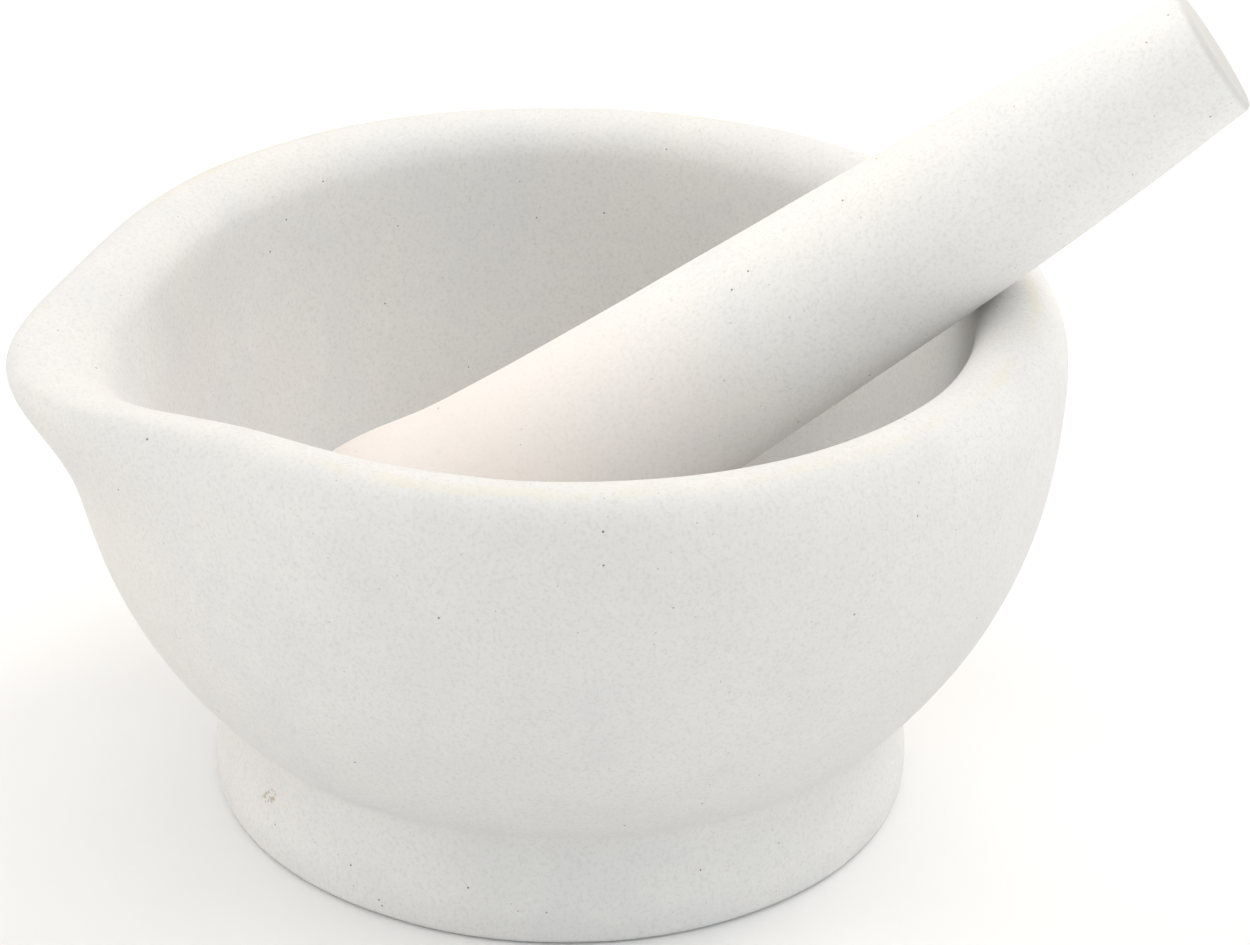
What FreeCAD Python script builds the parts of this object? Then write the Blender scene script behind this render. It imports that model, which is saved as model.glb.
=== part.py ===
import FreeCAD, Part
import math
import os

# A laboratory mortar with its pestle leaning in it, both of unglazed porcelain.
# Millimetres. The origin is the centre of the mortar's resting plane, +Z is up,
# and the pouring spout points along -X.

# ---- rim and bowl, outside
RIM_RADIUS = 50.0            # widest outside radius, away from the spout
CREST_HEIGHT = 55.0          # top of the rim above the resting plane
OUTER_ROLL = (4.55, 6.35)    # rim, crest to widest point: width, height
INNER_ROLL = (5.0, 4.1)      # rim, crest to the inner wall: width, height
UNDERSIDE_HEIGHT = 15.7      # where the wall turns under towards the neck
WALL_SQUARE = 5.6            # wall radius lost at UNDERSIDE_HEIGHT, in the square term
WALL_CUBE = 5.4              # and in the cube term

# ---- bowl, inside: a superellipse from the opening down to the floor
FLOOR_HEIGHT = 11.0
BOWL_POWER = 2.5

# ---- pouring spout: a smooth outward push of the rim
SPOUT_LENGTH = 9.0           # how far the crest is pushed out at the tip
SPOUT_DROP = 1.6             # and how far it is lowered there
SPOUT_HALF_ANGLE = 41.0      # from the tip to where the rim is round again
SPOUT_SHARPNESS = 3.5        # power of the cosine across the spout
SPOUT_OUTSIDE = (36.0, 1.8)  # outer wall: height where the push begins, and how late it grows
SPOUT_INSIDE = (24.0, 3.0)   # the same for the inner wall

# ---- foot, neck and underside of the bowl, as (radius, height) from the bottom up
FOOT_RADIUS = 35.9
FOOT_EDGE = 1.2              # rounding between the foot's side and the resting plane
FOOT_SIDE = ((36.05, 3.0), (35.9, 4.4), (35.65, 5.7), (35.4, 7.3), (35.25, 9.0), (35.2, 10.5))
UNDERSIDE = ((35.5, 11.9), (36.2, 12.8), (37.3, 13.75), (38.4, 14.9))
RING_INNER_RADIUS = 27.5     # inner edge of the ring that the mortar stands on
RECESS_DEPTH = 2.2
RECESS_SLOPE = 2.2           # width of the slope between the ring and the recess

# ---- surface that carries the rim and the spout
RING_START = 30.0            # outer wall height where it takes over from the turned wall
RING_END = 23.0              # inner wall height where the turned bowl takes over again
STATIONS = 120               # around
ROWS = (9, 7, 7, 12)         # outer wall, outer roll, inner roll, inner wall

# ---- pestle: its axis runs from the handle end at 0 to the grinding tip
HANDLE_RADIUS = 6.55
HANDLE_EDGE = 0.7
FLANK = ((17.5, 8.2), (40.0, 9.4), (65.0, 10.45), (85.0, 11.65))   # (distance, radius)
HEAD_START = 96.5            # where the flank ends at its widest
HEAD_RADIUS = 13.3
HEAD_LENGTH = 6.2            # from HEAD_START to the tip
HEAD_POWER = 2.4
PESTLE_LEAN = 35.7           # rise of the axis above the horizontal, degrees
PESTLE_AZIMUTH = -20.0       # direction in which the handle points, degrees from +X
HANDLE_REACH = 62.37         # handle end's centre from the Z axis
HANDLE_HEIGHT = 79.95        # and above the resting plane

# ---- how finely the curves are drawn
WALL_START = 0.6             # first wall point above UNDERSIDE_HEIGHT
WALL_POINTS = 6
BOWL_POINTS = 12
HEAD_POINTS = 12
SMALL_TURN = 0.0001          # radians, to read off the bowl's direction
SEWING_GAP = 0.005

UP = FreeCAD.Vector(0, 0, 1)
INWARD = FreeCAD.Vector(-1, 0, 0)
ORIGIN = FreeCAD.Vector(0, 0, 0)
MID_ARC = 1 - math.sqrt(0.5)      # a quarter round's middle from its corner, for a radius of 1
CREST_RADIUS = RIM_RADIUS - OUTER_ROLL[0]
WIDEST_HEIGHT = CREST_HEIGHT - OUTER_ROLL[1]
OPENING_RADIUS = CREST_RADIUS - INNER_ROLL[0]
OPENING_HEIGHT = CREST_HEIGHT - INNER_ROLL[1]


def in_profile(radius, height):
    """A point of a turned profile, in the XZ plane."""
    return FreeCAD.Vector(radius, 0, height)


def steps(start, end, count):
    """count evenly spaced values from start to end, with end included and start left out."""
    return [start + (end - start) * i / count for i in range(1, count + 1)]


def wall_radius(height):
    """Outer wall of the bowl, from UNDERSIDE_HEIGHT to WIDEST_HEIGHT."""
    depth = (WIDEST_HEIGHT - height) / (WIDEST_HEIGHT - UNDERSIDE_HEIGHT)
    return RIM_RADIUS - WALL_SQUARE * depth ** 2 - WALL_CUBE * depth ** 3


def wall_slope(height):
    """Change of the outer wall's radius with height."""
    span = WIDEST_HEIGHT - UNDERSIDE_HEIGHT
    depth = (WIDEST_HEIGHT - height) / span
    return (2 * WALL_SQUARE * depth + 3 * WALL_CUBE * depth ** 2) / span


def wall_direction(height):
    return FreeCAD.Vector(wall_slope(height), 0, 1).normalize()


def superellipse(turn, width, height, power):
    """Offsets from the centre: width at a turn of 0, height at a quarter turn."""
    return (width * max(math.cos(turn), 0.0) ** (2 / power),
            height * math.sin(turn) ** (2 / power))


def bowl_point(turn):
    """Radius and height on the inner wall, for a turn from 0 at the opening to pi/2 at the floor."""
    radius, drop = superellipse(turn, OPENING_RADIUS, OPENING_HEIGHT - FLOOR_HEIGHT, BOWL_POWER)
    return radius, OPENING_HEIGHT - drop


def bowl_turn(height):
    """The turn at which bowl_point comes to this height."""
    depth = (OPENING_HEIGHT - height) / (OPENING_HEIGHT - FLOOR_HEIGHT)
    return math.asin(depth ** (BOWL_POWER / 2))


def bowl_direction(turn):
    """Direction of the inner wall's profile towards the floor."""
    before = in_profile(*bowl_point(turn - SMALL_TURN))
    after = in_profile(*bowl_point(turn + SMALL_TURN))
    return (after - before).normalize()


def swung(direction, point):
    """A direction of the XZ profile, turned about Z to the side where the point is."""
    reach = math.hypot(point.x, point.y)
    return FreeCAD.Vector(direction.x * point.x / reach, direction.x * point.y / reach, direction.z)


def spline(points, start, end):
    """Smooth curve through points, leaving and arriving in the given directions."""
    curve = Part.BSplineCurve()
    curve.interpolate(Points=points, InitialTangent=start, FinalTangent=end)
    return curve.toShape()


def turned(edges):
    """Faces made by turning a profile once round Z."""
    return Part.Wire(edges).revolve(ORIGIN, UP, 360).Faces


def closed_solid(faces):
    shell = Part.makeShell(faces)
    shell.sewShape(SEWING_GAP)
    solid = Part.makeSolid(shell.Shells[0] if shell.Shells else shell)
    if solid.Volume < 0:
        solid.reverse()
    return solid


def spout_push(angle):
    """How much of SPOUT_LENGTH the rim is pushed out at this angle, from 0 to 1."""
    from_tip = abs((math.degrees(angle) % 360) - 180.0)
    if from_tip >= SPOUT_HALF_ANGLE:
        return 0.0
    return math.cos(math.pi / 2 * from_tip / SPOUT_HALF_ANGLE) ** SPOUT_SHARPNESS


def spout_share(height, start, power):
    """How much of the push reaches a row at this height: 0 up to start, 1 at the crest."""
    return max((height - start) / (CREST_HEIGHT - start), 0.0) ** power


def rim_rows():
    """(radius, height, share of the spout's push) for each row, from outside to inside."""
    outer_wall, outer_roll, inner_roll, inner_wall = ROWS
    rows = []

    def outside(radius, height):
        rows.append((radius, height, spout_share(height, *SPOUT_OUTSIDE)))

    def inside(radius, height):
        rows.append((radius, height, spout_share(height, *SPOUT_INSIDE)))

    outside(wall_radius(RING_START), RING_START)
    for height in steps(RING_START, WIDEST_HEIGHT, outer_wall):
        outside(wall_radius(height), height)
    for turn in steps(0, math.pi / 2, outer_roll):
        outside(CREST_RADIUS + OUTER_ROLL[0] * math.cos(turn),
                WIDEST_HEIGHT + OUTER_ROLL[1] * math.sin(turn))
    for turn in steps(0, math.pi / 2, inner_roll):
        inside(CREST_RADIUS - INNER_ROLL[0] * math.sin(turn),
               OPENING_HEIGHT + INNER_ROLL[1] * math.cos(turn))
    for turn in steps(0, bowl_turn(RING_END), inner_wall):
        inside(*bowl_point(turn))
    return rows


def ring_round(radius, height, share):
    """Closed curve round the Z axis, pushed out at the spout."""
    points = []
    for i in range(STATIONS):
        angle = 2 * math.pi * i / STATIONS
        push = share * spout_push(angle)
        reach = radius + SPOUT_LENGTH * push
        points.append(FreeCAD.Vector(reach * math.cos(angle), reach * math.sin(angle),
                                     height - SPOUT_DROP * push))
    ring = Part.BSplineCurve()
    ring.interpolate(Points=points, PeriodicFlag=True,
                     Parameters=[i / STATIONS for i in range(STATIONS + 1)])
    return ring


def rim_face():
    """One smooth face: upper outer wall, rolled rim, spout and upper inner wall."""
    rows = rim_rows()
    rings = [ring_round(*row) for row in rows]
    travelled = [0.0]
    for (r0, z0, _), (r1, z1, _) in zip(rows, rows[1:]):
        travelled.append(travelled[-1] + math.hypot(r1 - r0, z1 - z0))
    start_up = wall_direction(RING_START)
    end_down = bowl_direction(bowl_turn(RING_END))
    columns = []
    for i in range(len(rings[0].getPoles())):
        poles = [ring.getPole(i + 1) for ring in rings]
        column = Part.BSplineCurve()
        column.interpolate(Points=poles, Parameters=travelled, Scale=False,
                           InitialTangent=swung(start_up, poles[0]),
                           FinalTangent=swung(end_down, poles[-1]))
        columns.append(column)
    surface = Part.BSplineSurface()
    surface.buildFromPolesMultsKnots(
        [column.getPoles() for column in columns],
        rings[0].getMultiplicities(), columns[0].getMultiplicities(),
        rings[0].getKnots(), columns[0].getKnots(),
        True, False, rings[0].Degree, columns[0].Degree)
    return surface.toShape()


def foot_and_wall():
    """Turned faces: recess, standing ring, foot, neck, underside and lower wall."""
    recess_centre = in_profile(0, RECESS_DEPTH)
    recess_edge = in_profile(RING_INNER_RADIUS - RECESS_SLOPE, RECESS_DEPTH)
    ring_inner = in_profile(RING_INNER_RADIUS, 0)
    ring_outer = in_profile(FOOT_RADIUS - FOOT_EDGE, 0)
    edge_middle = in_profile(FOOT_RADIUS - FOOT_EDGE * MID_ARC, FOOT_EDGE * MID_ARC)
    side_start = in_profile(FOOT_RADIUS, FOOT_EDGE)
    lowest = UNDERSIDE_HEIGHT + WALL_START
    heights = [lowest] + steps(lowest, RING_START, WALL_POINTS)
    side = [side_start] + [in_profile(*point) for point in FOOT_SIDE + UNDERSIDE]
    side += [in_profile(wall_radius(height), height) for height in heights]
    return turned([
        Part.makeLine(recess_centre, recess_edge),
        Part.makeLine(recess_edge, ring_inner),
        Part.makeLine(ring_inner, ring_outer),
        Part.Arc(ring_outer, edge_middle, side_start).toShape(),
        spline(side, UP, wall_direction(RING_START)),
    ])


def bowl_floor():
    """Turned face: lower inner wall and floor."""
    start = bowl_turn(RING_END)
    turns = [start] + steps(start, math.pi / 2, BOWL_POINTS)
    points = [in_profile(*bowl_point(turn)) for turn in turns[:-1]]
    points.append(in_profile(0, FLOOR_HEIGHT))
    return turned([spline(points, bowl_direction(start), INWARD)])


def mortar():
    return closed_solid(foot_and_wall() + [rim_face()] + bowl_floor())


def pestle():
    """Turned about +Z with the handle end at the origin, then leaned into the bowl."""
    end_centre = in_profile(0, 0)
    end_edge = in_profile(HANDLE_RADIUS - HANDLE_EDGE, 0)
    edge_middle = in_profile(HANDLE_RADIUS - HANDLE_EDGE * MID_ARC, HANDLE_EDGE * MID_ARC)
    flank_start = in_profile(HANDLE_RADIUS, HANDLE_EDGE)
    head = in_profile(HEAD_RADIUS, HEAD_START)
    first_rise = FreeCAD.Vector(FLANK[0][1] - HANDLE_RADIUS, 0, FLANK[0][0]).normalize()
    flank = spline([flank_start] + [in_profile(r, s) for s, r in FLANK] + [head],
                   first_rise, UP)
    dome = [head]
    for turn in steps(0, math.pi / 2, HEAD_POINTS)[:-1]:
        radius, length = superellipse(turn, HEAD_RADIUS, HEAD_LENGTH, HEAD_POWER)
        dome.append(in_profile(radius, HEAD_START + length))
    dome.append(in_profile(0, HEAD_START + HEAD_LENGTH))
    solid = closed_solid(turned([
        Part.makeLine(end_centre, end_edge),
        Part.Arc(end_edge, edge_middle, flank_start).toShape(),
        flank,
        spline(dome, UP, INWARD),
    ]))
    # the turning axis points from the handle end down to the tip
    tip_down = FreeCAD.Rotation(FreeCAD.Vector(0, 1, 0), 180 + 90 - PESTLE_LEAN)
    swing = FreeCAD.Rotation(UP, PESTLE_AZIMUTH)
    handle_end = swing.multVec(FreeCAD.Vector(HANDLE_REACH, 0, HANDLE_HEIGHT))
    solid.Placement = FreeCAD.Placement(handle_end, swing.multiply(tip_down))
    return solid


def main():
    os.makedirs("parts", exist_ok=True)
    solids = {"mortar": mortar(), "pestle": pestle()}
    for name, solid in solids.items():
        box = solid.BoundBox
        print(name, "valid", solid.isValid(), "volume cm3 %.2f" % (solid.Volume / 1000),
              "x %.2f..%.2f y %.2f..%.2f z %.2f..%.2f"
              % (box.XMin, box.XMax, box.YMin, box.YMax, box.ZMin, box.ZMax))
        solid.exportStep("parts/%s.step" % name)
    print("clearance %.3f" % solids["mortar"].distToShape(solids["pestle"])[0])


main()
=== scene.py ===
import math

import bpy
from mathutils import Matrix, Vector


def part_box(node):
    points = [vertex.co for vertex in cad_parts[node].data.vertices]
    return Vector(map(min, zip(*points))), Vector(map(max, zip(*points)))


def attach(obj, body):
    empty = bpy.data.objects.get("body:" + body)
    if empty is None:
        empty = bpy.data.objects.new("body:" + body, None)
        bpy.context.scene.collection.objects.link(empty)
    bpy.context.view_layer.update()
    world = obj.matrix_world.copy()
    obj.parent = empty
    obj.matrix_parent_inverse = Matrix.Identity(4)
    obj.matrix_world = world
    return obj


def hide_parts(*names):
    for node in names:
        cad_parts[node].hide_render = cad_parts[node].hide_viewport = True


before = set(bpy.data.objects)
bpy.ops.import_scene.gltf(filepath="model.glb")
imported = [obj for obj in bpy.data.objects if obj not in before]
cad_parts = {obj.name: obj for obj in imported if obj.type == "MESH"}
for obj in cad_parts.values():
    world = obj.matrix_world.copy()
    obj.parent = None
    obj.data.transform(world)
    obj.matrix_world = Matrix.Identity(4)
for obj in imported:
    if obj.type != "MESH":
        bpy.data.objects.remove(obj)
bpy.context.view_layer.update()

# Metres throughout, in the CAD frame: the origin is the centre of the mortar's
# resting plane, +Z is up and the spout points along -X.

# ---- rim and bowl, outside
RIM_RADIUS = 0.050
CREST_HEIGHT = 0.055
OUTER_ROLL = (0.00455, 0.00635)     # rim, crest to widest point: width, height
INNER_ROLL = (0.0050, 0.0041)       # rim, crest to the inner wall: width, height
UNDERSIDE_HEIGHT = 0.0157
WALL_SQUARE = 0.0056
WALL_CUBE = 0.0054

# ---- bowl, inside
FLOOR_HEIGHT = 0.011
BOWL_POWER = 2.5

# ---- spout
SPOUT_LENGTH = 0.0090
SPOUT_DROP = 0.0016
SPOUT_HALF_ANGLE = 41.0
SPOUT_SHARPNESS = 3.5
SPOUT_OUTSIDE = (0.036, 1.8)        # height where the push begins, and how late it grows
SPOUT_INSIDE = (0.024, 3.0)

# ---- foot, neck and underside of the bowl, as (radius, height) from the bottom up
FOOT_RADIUS = 0.0359
FOOT_EDGE = 0.0012
FOOT_SIDE = ((0.03605, 0.0030), (0.0359, 0.0044), (0.03565, 0.0057), (0.0354, 0.0073),
             (0.03525, 0.0090), (0.0352, 0.0105))
UNDERSIDE = ((0.0355, 0.0119), (0.0362, 0.0128), (0.0373, 0.01375), (0.0384, 0.0149))
RING_INNER_RADIUS = 0.0275
RECESS_DEPTH = 0.0022
RECESS_SLOPE = 0.0022
RECESS_EASE = 0.05                  # share of the depth by which its two corners are eased

# ---- pestle
HANDLE_RADIUS = 0.00655
HANDLE_EDGE = 0.0007
FLANK = ((0.0175, 0.0082), (0.040, 0.0094), (0.065, 0.01045), (0.085, 0.01165))
HEAD_START = 0.0965
HEAD_RADIUS = 0.0133
HEAD_LENGTH = 0.0062
HEAD_POWER = 2.4
PESTLE_LEAN = math.radians(35.7)
PESTLE_AZIMUTH = math.radians(-20.0)
PESTLE_REACH = 0.06237              # centre of the handle's end: out from the Z axis, and up
PESTLE_HEIGHT = 0.07995

CREST_RADIUS = RIM_RADIUS - OUTER_ROLL[0]
WIDEST_HEIGHT = CREST_HEIGHT - OUTER_ROLL[1]
OPENING_RADIUS = CREST_RADIUS - INNER_ROLL[0]
OPENING_HEIGHT = CREST_HEIGHT - INNER_ROLL[1]

# ---- rows and columns of the cages; SUBDIVISION finishes the mortar's
STATIONS = 64
SUBDIVISION = 2
RECESS_ROWS = (0.008, 0.016, 0.022)
CORNER_ROW = 0.0008                 # how far the rows beside the recess's corners stand off
RING_ROW = 0.031
EDGE_ROW = 0.0006
FOOT_EDGE_ROWS = 4
LOW_WALL_ROWS = (0.0163, 0.0180, 0.0202, 0.0228)
WALL_ROWS = 10
ROLL_ROWS = 6
BOWL_ROWS = 18
HANDLE_END_ROW = 0.003
HANDLE_EDGE_ROWS = 4
FLANK_ROWS = 40
HEAD_ROWS = 12
TURNING_STEPS = 160
AXIS_MERGE = 0.000002

# ---- sponging marks: spacing and height
MORTAR_SPONGING = (0.016, 0.00022)
PESTLE_SPONGING = (0.020, 0.00020)

# ---- porcelain. A noise is (scale per metre, detail, roughness). A tone is (brightness
# against the piece's own white, warmth). A span is the two values between which it fades in.
MORTAR_WHITE = 0.70
PESTLE_WHITE = 0.812
BASE_TONE = (0.985, 0.005)
# name, noise, span, how much it covers, tone; each is laid over the one before
LAYERS = (
    ("clouding", (140.0, 3.0, 0.6), (0.3, 0.7), 1.0, (1.02, 0.02)),
    ("cream drift", (34.0, 2.0, 0.5), (0.4, 0.7), 0.5, (1.0, 0.04)),
    ("fine grain", (2600.0, 2.0, 0.7), (0.46, 0.70), 0.5, (0.84, 0.02)),
    ("sand", (1100.0, 2.0, 0.6), (0.52, 0.75), 0.2, (1.10, 0.01)),
)
# cells per metre, radius, share of the cells that hold a speck
IRON_SPECKS = (450.0, 0.00014, 0.5)
IRON_COVER = 0.85
IRON_COLOUR = (0.11, 0.10, 0.09, 1)
FAINT_SPECKS = (800.0, 0.00012, 0.3)
FAINT_COVER = 0.45
FAINT_COLOUR = (0.33, 0.31, 0.28, 1)
FAINT_SHIFT = (0.31, 0.17, 0.05)    # keeps the faint specks off the dark ones
SPECK_CORE = 0.5                    # share of a speck's radius that is fully dark
SPECK_FAINTEST = 0.6                # cells past this part of the share are less dark
GRAIN_HEIGHT = 0.5
SPECK_PIT = 0.6
BUMP_STRENGTH = 0.6
BUMP_DEPTH = 0.00007
ROUGHNESS = 0.82
GRAIN_ROUGHNESS = 0.12
PORCELAIN_IOR = 1.45
PORCELAIN_SPECULAR = 0.25

# ---- the faint yellow line along the rim's top
YELLOW_RADIUS = 0.0462
YELLOW_WIDTH = 0.0008
YELLOW_DEPTH = 0.003                # below the crest, where it is at full strength
YELLOW_COVER = 0.36
YELLOW_COLOUR = (0.70, 0.66, 0.50, 1)
YELLOW_WANDER = (120.0, 3.0, 0.6)
YELLOW_WANDER_WIDTH = 0.0022
YELLOW_PATCHES = (90.0, 4.0, 0.65)
YELLOW_PATCHES_SPAN = (0.42, 0.62)
SPOUT_CLEAR = (-0.040, -0.028)      # along X, where the line fades in behind the spout

# ---- the scuff on the foot
SCUFF_ANGLE = math.radians(195.0)   # round the foot from +X
SCUFF_HEIGHT = 0.0072
SCUFF_SLANT = math.radians(-40.0)
SCUFF_SIZE = (0.0017, 0.0008)
SCUFF_SPAN = (0.3, 1.2)
SCUFF_BREAKS = (1900.0, 3.0, 0.6)
SCUFF_BREAKS_SPAN = (0.47, 0.58)
SCUFF_COVER = 0.7
SCUFF_COLOUR = (0.40, 0.30, 0.19, 1)

# ---- marks on the pestle, and painted shade on its flat end
# a peach tone towards the grinding end
PEACH_SPAN = (0.050, 0.085)          # distances from the handle's end
PESTLE_UNEVEN_NOISE = (70.0, 2.0, 0.5)
PEACH_WANDER = 0.03
PEACH_COVER = 0.7
PEACH_COLOUR = (0.87, 0.79, 0.74, 1)
HANDLING_NOISE = (95.0, 4.0, 0.65)
HANDLING_SPAN = (0.56, 0.72)
HANDLING_COVER = 0.3
HANDLING_COLOUR = (0.70, 0.71, 0.72, 1)
# painted shade: a grey over the flat handle end, which the lamps overlight
PAINTED_END_SHADE_SPAN = (0.0, 0.0008)
PAINTED_END_SHADE_COVER = (0.55, 0.5)        # least cover, and how much more the unevenness adds
PAINTED_END_SHADE_COLOUR = (0.50, 0.495, 0.48, 1)

# ---- stage and backdrop
FLOOR_REACH = 1.0
FLOOR_COLOUR = (0.86, 0.86, 0.86, 1)
FLOOR_ROUGHNESS = 0.9
BACKDROP = (0.76, 0.755, 0.75, 1)

# ---- camera
VIEW_AZIMUTH = math.radians(-20.0)
CAMERA_DISTANCE = 0.400
CAMERA_ELEVATION = math.radians(26.9)
CAMERA_ROLL = math.radians(1.09)
AIM_RIGHT = 0.0062
AIM_HEIGHT = 0.0336
LENS = 113.6
SENSOR_WIDTH = 36.0
CLIP_START = 0.01

# ---- softboxes
LIT_CENTRE = Vector((0, 0, 0.04))
BOX_DISTANCE = 1.2
BOX_SIZE = 0.7
WARM = (1.0, 0.93, 0.86)
NEUTRAL = (1.0, 0.965, 0.935)
COOL = (0.91, 0.955, 0.975)
# name, degrees round from behind the camera towards its right, degrees up, watts, colour
SOFTBOXES = (
    ("front_low", 0, 15, 3.25, COOL),
    ("front_high", 0, 45, 3.4, COOL),
    ("overhead", 0, 75, 3.1, WARM),
    ("right_high", 60, 45, 1.9, WARM),
    ("right_low", 90, 15, 4.1, COOL),
    ("right_back_low", 135, 15, 2.5, NEUTRAL),
    ("right_back_high", 120, 45, 6.5, NEUTRAL),
    ("back", 180, 45, 4.2, WARM),
    ("left_back_high", 240, 45, 4.3, COOL),
    ("left_low", 270, 15, 6.7, WARM),
    ("left_high", 300, 45, 0.9, NEUTRAL),
)


# ---------------------------------------------------------------- shapes


def steps(start, end, count):
    """count evenly spaced values from start to end, end included and start left out."""
    return [start + (end - start) * i / count for i in range(1, count + 1)]


def wall_radius(height):
    """The bowl's outer radius between its underside and its widest height."""
    depth = (WIDEST_HEIGHT - height) / (WIDEST_HEIGHT - UNDERSIDE_HEIGHT)
    return RIM_RADIUS - WALL_SQUARE * depth ** 2 - WALL_CUBE * depth ** 3


def superellipse(turn, width, height, power):
    """Offsets from the centre: width at a turn of 0, height at a quarter turn."""
    return (width * max(math.cos(turn), 0.0) ** (2 / power),
            height * math.sin(turn) ** (2 / power))


def spout_push(angle):
    """How far the spout draws the rim out at an angle: 1 at its tip, 0 beyond its sides."""
    from_tip = abs((math.degrees(angle) % 360) - 180.0)
    if from_tip >= SPOUT_HALF_ANGLE:
        return 0.0
    return math.cos(math.pi / 2 * from_tip / SPOUT_HALF_ANGLE) ** SPOUT_SHARPNESS


def spout_share(height, start, power):
    """How much of the spout's push reaches a row at this height: 0 up to start, 1 at the crest."""
    return max((height - start) / (CREST_HEIGHT - start), 0.0) ** power


def mortar_rows():
    """(radius, height, share of the spout's push), from the recess round to the floor."""
    recess_edge = RING_INNER_RADIUS - RECESS_SLOPE
    ring_outer = FOOT_RADIUS - FOOT_EDGE
    ease = RECESS_DEPTH * RECESS_EASE
    rows = [(radius, RECESS_DEPTH, 0) for radius in RECESS_ROWS]
    rows += [(recess_edge - CORNER_ROW, RECESS_DEPTH, 0), (recess_edge, RECESS_DEPTH - ease, 0)]
    rows += [(RING_INNER_RADIUS, ease, 0), (RING_INNER_RADIUS + CORNER_ROW, 0, 0)]
    rows += [(RING_ROW, 0, 0), (ring_outer - EDGE_ROW, 0, 0)]
    for turn in steps(-math.pi / 2, 0, FOOT_EDGE_ROWS):
        rows.append((ring_outer + FOOT_EDGE * math.cos(turn), FOOT_EDGE * (1 + math.sin(turn)), 0))
    rows += [(radius, height, 0) for radius, height in FOOT_SIDE + UNDERSIDE]

    def outside(radius, height):
        rows.append((radius, height, spout_share(height, *SPOUT_OUTSIDE)))

    def inside(radius, height):
        rows.append((radius, height, spout_share(height, *SPOUT_INSIDE)))

    for height in LOW_WALL_ROWS:
        outside(wall_radius(height), height)
    for height in steps(LOW_WALL_ROWS[-1], WIDEST_HEIGHT, WALL_ROWS):
        outside(wall_radius(height), height)
    for turn in steps(0, math.pi / 2, ROLL_ROWS):
        outside(CREST_RADIUS + OUTER_ROLL[0] * math.cos(turn),
                WIDEST_HEIGHT + OUTER_ROLL[1] * math.sin(turn))
    for turn in steps(0, math.pi / 2, ROLL_ROWS):
        inside(CREST_RADIUS - INNER_ROLL[0] * math.sin(turn),
               OPENING_HEIGHT + INNER_ROLL[1] * math.cos(turn))
    for turn in steps(0, math.pi / 2, BOWL_ROWS)[:-1]:
        radius, drop = superellipse(turn, OPENING_RADIUS, OPENING_HEIGHT - FLOOR_HEIGHT, BOWL_POWER)
        inside(radius, OPENING_HEIGHT - drop)
    return rows


def ring_cage(name, rows, stations, first_centre, last_centre):
    """Quads between rings of points, closed by a fan of triangles at each end."""
    # a subdivided ring of n points comes out this much smaller than the points
    shrink = (4 + 2 * math.cos(2 * math.pi / stations)) / 6
    points = [first_centre]
    for radius, height, share in rows:
        for i in range(stations):
            angle = 2 * math.pi * i / stations
            push = share * spout_push(angle)
            reach = (radius + SPOUT_LENGTH * push) / shrink
            points.append((reach * math.cos(angle), reach * math.sin(angle),
                           height - SPOUT_DROP * push))
    points.append(last_centre)
    faces = []
    for i in range(stations):
        j = (i + 1) % stations
        faces.append((0, 1 + j, 1 + i))
        for k in range(len(rows) - 1):
            low, high = 1 + k * stations, 1 + (k + 1) * stations
            faces.append((low + i, low + j, high + j, high + i))
        top = 1 + (len(rows) - 1) * stations
        faces.append((top + i, top + j, len(points) - 1))
    mesh = bpy.data.meshes.new(name)
    mesh.from_pydata(points, [], faces)
    mesh.shade_smooth()
    piece = bpy.data.objects.new(name, mesh)
    bpy.context.scene.collection.objects.link(piece)
    return piece


def subdivide(piece):
    finish = piece.modifiers.new("rounding", "SUBSURF")
    finish.levels = SUBDIVISION
    finish.render_levels = SUBDIVISION


def hand_finish(piece, name, spacing, strength):
    """The slight unevenness that sponging the unfired clay leaves."""
    clouds = bpy.data.textures.new(name, "CLOUDS")
    clouds.noise_scale = spacing
    clouds.noise_depth = 1
    uneven = piece.modifiers.new(name, "DISPLACE")
    uneven.texture = clouds
    uneven.texture_coords = "LOCAL"
    uneven.strength = strength
    uneven.mid_level = 0.5


def apply_stack(piece):
    """Replaces the mesh by what its modifiers make of it."""
    finished = bpy.data.meshes.new_from_object(
        piece.evaluated_get(bpy.context.evaluated_depsgraph_get()))
    piece.modifiers.clear()
    piece.data = finished


def smooth_flank(start, points, end, count):
    """Cubic through the named (distance, radius) points, as count points from start to end."""
    knots = [start, *points, end]
    slopes = []
    for i, (s, r) in enumerate(knots):
        if i == 0:
            slopes.append((knots[1][1] - r) / (knots[1][0] - s))
        elif i == len(knots) - 1:
            slopes.append(0.0)
        else:
            slopes.append((knots[i + 1][1] - knots[i - 1][1]) / (knots[i + 1][0] - knots[i - 1][0]))
    flank = []
    for s in steps(start[0], end[0], count):
        i = max(k for k in range(len(knots) - 1) if knots[k][0] < s)
        (s0, r0), (s1, r1) = knots[i], knots[i + 1]
        span = s1 - s0
        t = (s - s0) / span
        flank.append((s, r0 * (2 * t ** 3 - 3 * t ** 2 + 1) + r1 * (3 * t ** 2 - 2 * t ** 3)
                      + span * (slopes[i] * (t ** 3 - 2 * t ** 2 + t)
                                + slopes[i + 1] * (t ** 3 - t ** 2))))
    return flank


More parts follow.
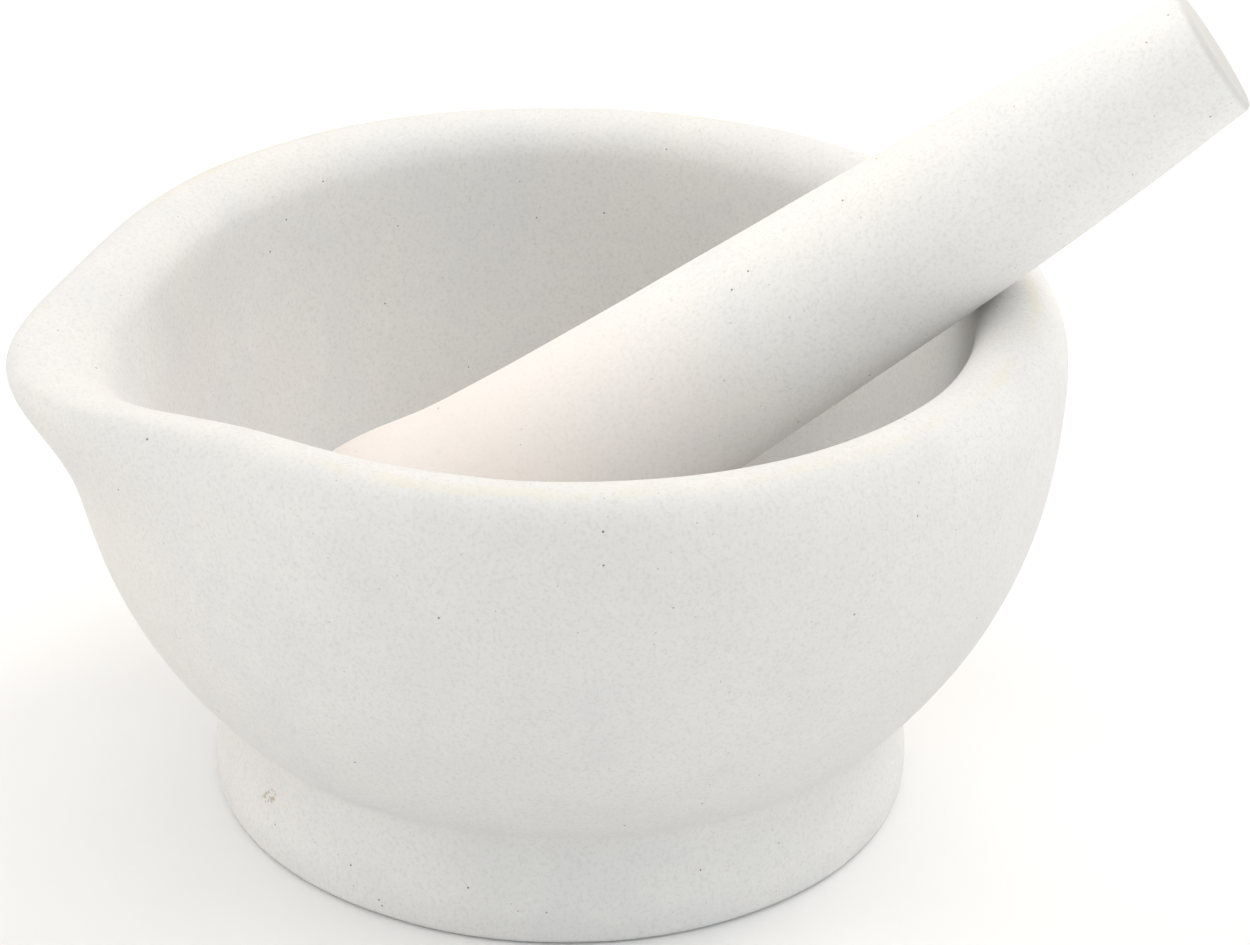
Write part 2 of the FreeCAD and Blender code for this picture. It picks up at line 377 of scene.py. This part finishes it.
def pestle_profile():
    """(distance from the handle end, radius) from the handle end's centre to the tip."""
    profile = [(0.0, 0.0), (0.0, HANDLE_END_ROW), (0.0, HANDLE_RADIUS - HANDLE_EDGE)]
    for turn in steps(0, math.pi / 2, HANDLE_EDGE_ROWS):
        profile.append((HANDLE_EDGE * (1 - math.cos(turn)),
                        HANDLE_RADIUS - HANDLE_EDGE * (1 - math.sin(turn))))
    profile += smooth_flank((HANDLE_EDGE, HANDLE_RADIUS), FLANK, (HEAD_START, HEAD_RADIUS),
                            FLANK_ROWS)
    for turn in steps(0, math.pi / 2, HEAD_ROWS):
        radius, length = superellipse(turn, HEAD_RADIUS, HEAD_LENGTH, HEAD_POWER)
        profile.append((HEAD_START + length, radius))
    return profile


def make_mortar():
    piece = ring_cage("mortar_body", mortar_rows(), STATIONS,
                      (0, 0, RECESS_DEPTH), (0, 0, FLOOR_HEIGHT))
    subdivide(piece)
    hand_finish(piece, "sponged_unevenness", *MORTAR_SPONGING)
    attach(piece, "mortar")
    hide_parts("mortar")
    return piece


def make_pestle():
    profile = pestle_profile()
    mesh = bpy.data.meshes.new("pestle_body")
    # the turning axis is Z with the handle end on top, so the profile runs from top to bottom
    mesh.from_pydata([(radius, 0, -distance) for distance, radius in profile],
                     [(i, i + 1) for i in range(len(profile) - 1)], [])
    piece = bpy.data.objects.new("pestle_body", mesh)
    bpy.context.scene.collection.objects.link(piece)
    turn = piece.modifiers.new("turning", "SCREW")
    turn.steps = TURNING_STEPS
    turn.render_steps = TURNING_STEPS
    turn.use_merge_vertices = True
    turn.merge_threshold = AXIS_MERGE
    turn.use_smooth_shade = True
    apply_stack(piece)
    lean = (Matrix.Rotation(PESTLE_AZIMUTH, 4, "Z")
            @ Matrix.Rotation(math.pi / 2 - PESTLE_LEAN, 4, "Y"))
    piece.data.transform(lean)
    # the leaning piece is put where its box has the same centre as the CAD node's
    low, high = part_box("pestle")
    own = [Vector(v.co) for v in piece.data.vertices]
    own_low = Vector([min(c[k] for c in own) for k in range(3)])
    own_high = Vector([max(c[k] for c in own) for k in range(3)])
    piece.data.transform(Matrix.Translation((low + high) / 2 - (own_low + own_high) / 2))
    hand_finish(piece, "pestle_unevenness", *PESTLE_SPONGING)
    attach(piece, "pestle")
    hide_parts("pestle")
    return piece


# ---------------------------------------------------------------- finishes


class Value:
    """A shader socket that adds Math nodes when Python's operators are used on it."""

    def __init__(self, shop, socket):
        self.shop = shop
        self.socket = socket

    def math(self, operation, *others):
        inputs = {0: self, **{i + 1: other for i, other in enumerate(others)}}
        return self.shop.add("ShaderNodeMath", {"operation": operation}, inputs)

    def __add__(self, other):
        return self.math("ADD", other)

    def __sub__(self, other):
        return self.math("SUBTRACT", other)

    def __mul__(self, other):
        return self.math("MULTIPLY", other)

    def __rsub__(self, other):
        return (self * -1.0) + other

    __radd__ = __add__
    __rmul__ = __mul__

    def ramp(self, low, high):
        """0 below low, 1 above high and smooth between."""
        return self.shop.add("ShaderNodeMapRange", {"interpolation_type": "SMOOTHSTEP"},
                             {"Value": self, "From Min": low, "From Max": high})


class Shop:
    """Adds nodes to one material: a type, its settings, then its socket values or links."""

    def __init__(self, name):
        self.material = bpy.data.materials.new(name)
        self.material.use_nodes = True
        self.tree = self.material.node_tree
        self.tree.nodes.clear()

    def add(self, kind, settings, inputs, output=0):
        node = self.tree.nodes.new(kind)
        for name, value in settings.items():
            setattr(node, name, value)
        for name, value in inputs.items():
            if isinstance(value, Value):
                self.tree.links.new(value.socket, node.inputs[name])
            else:
                node.inputs[name].default_value = value
        return Value(self, node.outputs[output]) if node.outputs else None

    def mix(self, share, first, second):
        """Colour from first to second."""
        return self.add("ShaderNodeMix", {"data_type": "RGBA"}, {0: share, 6: first, 7: second}, 2)

    def noise(self, place, scale, detail, roughness):
        return self.add("ShaderNodeTexNoise", {},
                        {"Vector": place, "Scale": scale, "Detail": detail,
                         "Roughness": roughness})

    def vector(self, operation, first, second, output=0):
        return self.add("ShaderNodeVectorMath", {"operation": operation},
                        {0: first, 1: second}, output)


def specks(shop, place, scale, size, share):
    """Small dark spots, one in each chosen cell of a 3D grid; share is how many are chosen."""
    spot = shop.add("ShaderNodeTexVoronoi", {}, {"Vector": place, "Scale": scale}, 0)
    colour = shop.add("ShaderNodeTexVoronoi", {}, {"Vector": place, "Scale": scale}, 1)
    chosen = shop.add("ShaderNodeSeparateColor", {}, {0: colour})
    radius = size * scale
    return ((1 - spot.ramp(radius * SPECK_CORE, radius))
            * chosen.ramp(1 - share, 1 - share * SPECK_FAINTEST))


def tint(white, tone):
    """Colour of the bisque from the piece's own white, and a (brightness, warmth) tone."""
    brightness, warmth = tone
    level = white * brightness
    return (level * (1 + warmth / 2), level, level * (1 - warmth), 1)


def bisque_porcelain(name, white, marks_and_shade):
    """Unglazed white porcelain: a fine sandy grain, faint clouding and stray iron specks.

    The last argument adds what belongs to one piece: its own marks, and on the pestle also painted
    shade greying the flat handle end."""
    shop = Shop(name)
    place = shop.add("ShaderNodeTexCoord", {}, {}, 3)
    noises = {}
    colour = tint(white, BASE_TONE)
    for layer, noise, span, cover, tone in LAYERS:
        noises[layer] = shop.noise(place, *noise)
        colour = shop.mix(noises[layer].ramp(*span) * cover, colour, tint(white, tone))
    colour = marks_and_shade(shop, place, colour)
    dots = specks(shop, place, *IRON_SPECKS)
    colour = shop.mix(dots * IRON_COVER, colour, IRON_COLOUR)
    faint_dots = specks(shop, shop.vector("ADD", place, FAINT_SHIFT), *FAINT_SPECKS)
    colour = shop.mix(faint_dots * FAINT_COVER, colour, FAINT_COLOUR)
    fine, sand = noises["fine grain"], noises["sand"]
    height = fine * GRAIN_HEIGHT + sand * GRAIN_HEIGHT - dots * SPECK_PIT
    normal = shop.add("ShaderNodeBump", {}, {"Strength": BUMP_STRENGTH, "Distance": BUMP_DEPTH,
                                             "Height": height})
    shader = shop.add("ShaderNodeBsdfPrincipled", {},
                      {"Base Color": colour, "Roughness": fine * GRAIN_ROUGHNESS + ROUGHNESS,
                       "Normal": normal, "IOR": PORCELAIN_IOR,
                       "Specular IOR Level": PORCELAIN_SPECULAR})
    shop.add("ShaderNodeOutputMaterial", {}, {0: shader})
    return shop.material


def mortar_marks(shop, place, colour):
    """A faint yellow line along the rim's top, and one brown scuff on the foot."""
    x = shop.add("ShaderNodeSeparateXYZ", {}, {0: place}, 0)
    z = shop.add("ShaderNodeSeparateXYZ", {}, {0: place}, 2)
    reach = shop.vector("LENGTH", shop.vector("MULTIPLY", place, (1, 1, 0)), (0, 0, 0), 1)
    wander = shop.noise(place, *YELLOW_WANDER)
    line = reach + (wander - 0.5) * YELLOW_WANDER_WIDTH - YELLOW_RADIUS
    near_line = 1 - (line * line).ramp(0.0, YELLOW_WIDTH ** 2)
    on_top = z.ramp(WIDEST_HEIGHT, CREST_HEIGHT - YELLOW_DEPTH)
    clear_of_spout = x.ramp(*SPOUT_CLEAR)
    patchy = shop.noise(place, *YELLOW_PATCHES).ramp(*YELLOW_PATCHES_SPAN)
    colour = shop.mix(near_line * on_top * clear_of_spout * patchy * YELLOW_COVER, colour,
                      YELLOW_COLOUR)
    return shop.mix(scuff(shop, place) * SCUFF_COVER, colour, SCUFF_COLOUR)


def scuff(shop, place):
    """A short slanting mark, an ellipse on the foot's side that noise breaks up."""
    c, s = math.cos(SCUFF_ANGLE), math.sin(SCUFF_ANGLE)
    level, upright = math.cos(SCUFF_SLANT), math.sin(SCUFF_SLANT)
    off = shop.vector("SUBTRACT", place, (FOOT_RADIUS * c, FOOT_RADIUS * s, SCUFF_HEIGHT))
    along = (-s * level, c * level, -upright)
    across = (-s * upright, c * upright, level)
    u = shop.vector("DOT_PRODUCT", off, along, 1) * (1 / SCUFF_SIZE[0])
    v = shop.vector("DOT_PRODUCT", off, across, 1) * (1 / SCUFF_SIZE[1])
    mark = 1 - (u * u + v * v).ramp(*SCUFF_SPAN)
    return mark * shop.noise(place, *SCUFF_BREAKS).ramp(*SCUFF_BREAKS_SPAN)


def pestle_marks_and_end_shade(shop, place, colour):
    """A peach tone towards the grinding end, cloudy handling marks, and painted shade greying the
    flat handle end.
    """
    out = (math.cos(PESTLE_AZIMUTH), math.sin(PESTLE_AZIMUTH))
    handle_end = (PESTLE_REACH * out[0], PESTLE_REACH * out[1], PESTLE_HEIGHT)
    axis = (-math.cos(PESTLE_LEAN) * out[0], -math.cos(PESTLE_LEAN) * out[1],
            -math.sin(PESTLE_LEAN))
    distance = shop.vector("DOT_PRODUCT", shop.vector("SUBTRACT", place, handle_end), axis, 1)
    uneven = shop.noise(place, *PESTLE_UNEVEN_NOISE)
    peach_reach = distance + (uneven - 0.5) * PEACH_WANDER
    colour = shop.mix(peach_reach.ramp(*PEACH_SPAN) * PEACH_COVER, colour, PEACH_COLOUR)
    marks = shop.noise(place, *HANDLING_NOISE).ramp(*HANDLING_SPAN)
    colour = shop.mix(marks * HANDLING_COVER, colour, HANDLING_COLOUR)
    # painted shade: the flat handle end is greyed to darken the face that the lamps overlight
    painted_end_shade = 1 - distance.ramp(*PAINTED_END_SHADE_SPAN)
    cover = uneven * PAINTED_END_SHADE_COVER[1] + PAINTED_END_SHADE_COVER[0]
    return shop.mix(painted_end_shade * cover, colour, PAINTED_END_SHADE_COLOUR)


# ---------------------------------------------------------------- stage, light, camera


def pale_floor():
    mesh = bpy.data.meshes.new("floor")
    mesh.from_pydata([(-FLOOR_REACH, -FLOOR_REACH, 0), (FLOOR_REACH, -FLOOR_REACH, 0),
                      (FLOOR_REACH, FLOOR_REACH, 0), (-FLOOR_REACH, FLOOR_REACH, 0)],
                     [], [(0, 1, 2, 3)])
    floor = bpy.data.objects.new("floor", mesh)
    bpy.context.scene.collection.objects.link(floor)
    shop = Shop("floor_paper")
    shader = shop.add("ShaderNodeBsdfPrincipled", {},
                      {"Base Color": FLOOR_COLOUR, "Roughness": FLOOR_ROUGHNESS,
                       "Specular IOR Level": 0.0})
    shop.add("ShaderNodeOutputMaterial", {}, {0: shader})
    mesh.materials.append(shop.material)


def from_view(right, away, up):
    """A place given as seen from the camera: to its right, away from it, and up."""
    c, s = math.cos(VIEW_AZIMUTH), math.sin(VIEW_AZIMUTH)
    return (right * c - away * s, right * s + away * c, up)


def softbox(name, round_degrees, up_degrees, watts, colour):
    turn, rise = math.radians(round_degrees), math.radians(up_degrees)
    towards = Vector(from_view(math.sin(turn) * math.cos(rise), -math.cos(turn) * math.cos(rise),
                               math.sin(rise)))
    light = bpy.data.lights.new(name, "AREA")
    light.shape = "SQUARE"
    light.size = BOX_SIZE
    light.energy = watts
    light.color = colour
    box = bpy.data.objects.new(name, light)
    box.location = LIT_CENTRE + towards * BOX_DISTANCE
    box.rotation_euler = (-towards).to_track_quat("-Z", "Y").to_euler()
    bpy.context.scene.collection.objects.link(box)


def studio_light():
    world = bpy.data.worlds.new("studio")
    bpy.context.scene.world = world
    world.use_nodes = True
    backdrop = world.node_tree.nodes["Background"]
    backdrop.inputs["Color"].default_value = BACKDROP
    # a pale backdrop that is seen but lights nothing, so the softboxes alone shape the pieces
    seen = world.node_tree.nodes.new("ShaderNodeLightPath")
    world.node_tree.links.new(seen.outputs["Is Camera Ray"], backdrop.inputs["Strength"])
    for spec in SOFTBOXES:
        softbox(*spec)


def camera():
    place = Vector(from_view(0, -CAMERA_DISTANCE * math.cos(CAMERA_ELEVATION),
                             AIM_HEIGHT + CAMERA_DISTANCE * math.sin(CAMERA_ELEVATION)))
    aim = Vector(from_view(AIM_RIGHT, 0, AIM_HEIGHT))
    lens = bpy.data.cameras.new("camera")
    lens.sensor_fit = "HORIZONTAL"
    lens.sensor_width = SENSOR_WIDTH
    lens.lens = LENS
    lens.clip_start = CLIP_START
    eye = bpy.data.objects.new("camera", lens)
    eye.matrix_world = (Matrix.Translation(place)
                        @ (aim - place).to_track_quat("-Z", "Y").to_matrix().to_4x4()
                        @ Matrix.Rotation(CAMERA_ROLL, 4, "Z"))
    bpy.context.scene.collection.objects.link(eye)
    bpy.context.scene.camera = eye


bpy.context.scene.view_settings.view_transform = "Standard"
mortar = make_mortar()
pestle = make_pestle()
mortar.data.materials.append(bisque_porcelain("mortar_bisque", MORTAR_WHITE, mortar_marks))
pestle.data.materials.append(bisque_porcelain("pestle_bisque", PESTLE_WHITE, pestle_marks_and_end_shade))
pale_floor()
studio_light()
camera()
